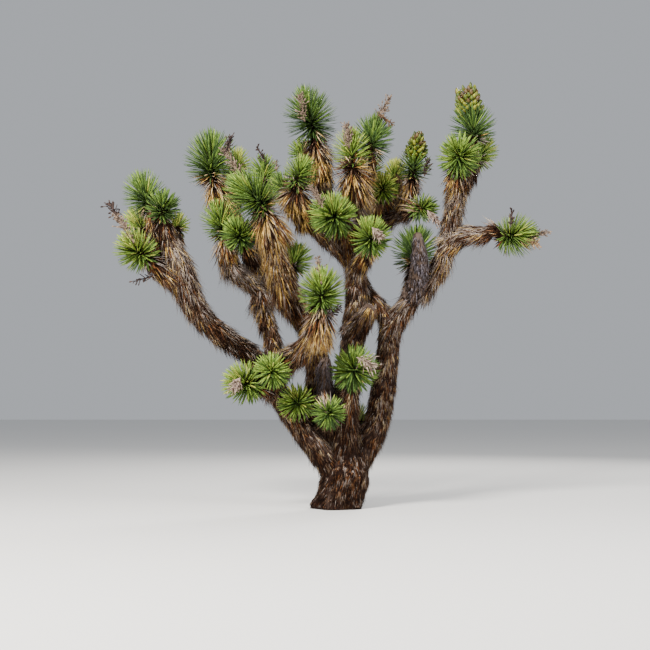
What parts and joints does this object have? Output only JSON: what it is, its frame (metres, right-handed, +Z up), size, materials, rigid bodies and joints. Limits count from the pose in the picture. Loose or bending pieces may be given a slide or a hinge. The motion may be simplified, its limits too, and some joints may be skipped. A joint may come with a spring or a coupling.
{
  "type": "joshua tree",
  "caption": "Whole joshua tree with a short leaning trunk, forked shaggy boughs that end in balls of dagger leaves, dead stubs, dried flower stalks and flower heads.",
  "frame": {"origin": "middle of the flat cut under the trunk, at ground level", "axes": "+Z up the trunk, +X to the right and -Y towards the viewer of the reference picture"},
  "size_m": [4.1149, 2.0769, 4.154],
  "materials": {
    "bark": "rough fibrous bark and dead leaf thatch",
    "grey_wood": "weathered dead wood",
    "foliage": "waxy dagger leaves over golden dead ones",
    "flowering_foliage": "dagger leaves under a head of waxy buds"
  },
  "bodies": {
    "root": {"trunk": "bark", "stem_middle": "bark", "stem_right": "bark", "stem_left": "bark", "stem_inner": "bark", "bough_far_left": "bark", "bough_upright_left": "bark", "bough_front": "bark", "bough_front_low": "bark", "bough_mid_left": "bark", "bough_mid_top": "bark", "bough_mid_front": "bark", "bough_left_low": "bark", "bough_left_high": "bark", "bough_back_left": "bark", "bough_back": "bark", "bough_back_right": "bark", "bough_right": "bark", "bough_side_right": "bark", "stub_grey": "grey_wood", "stub_inner": "grey_wood", "stub_middle": "grey_wood", "tuft_far_left_1": "foliage", "tuft_far_left_2": "foliage", "tuft_far_left_3": "foliage", "tuft_far_left_4": "foliage", "tuft_far_left_5": "foliage", "tuft_left_1": "foliage", "tuft_left_2": "foliage", "tuft_left_3": "foliage", "tuft_left_4": "foliage", "tuft_left_5": "foliage", "tuft_left_6": "foliage", "tuft_middle_1": "foliage", "tuft_middle_2": "foliage", "tuft_middle_3": "foliage", "tuft_middle_4": "foliage", "tuft_middle_5": "foliage", "tuft_middle_6": "foliage", "tuft_middle_7": "foliage", "tuft_middle_8": "foliage", "tuft_back_1": "foliage", "tuft_back_2": "foliage", "tuft_back_3": "foliage", "tuft_back_4": "flowering_foliage", "tuft_back_5": "foliage", "tuft_back_6": "foliage", "tuft_front_1": "foliage", "tuft_front_2": "foliage", "tuft_right_1": "flowering_foliage", "tuft_right_2": "foliage", "tuft_right_3": "foliage", "tuft_right_4": "foliage", "tuft_low_1": "foliage", "tuft_low_2": "foliage", "tuft_low_3": "foliage", "tuft_low_4": "foliage", "tuft_low_5": "foliage", "tuft_low_6": "foliage"}
  },
  "joints": []
}
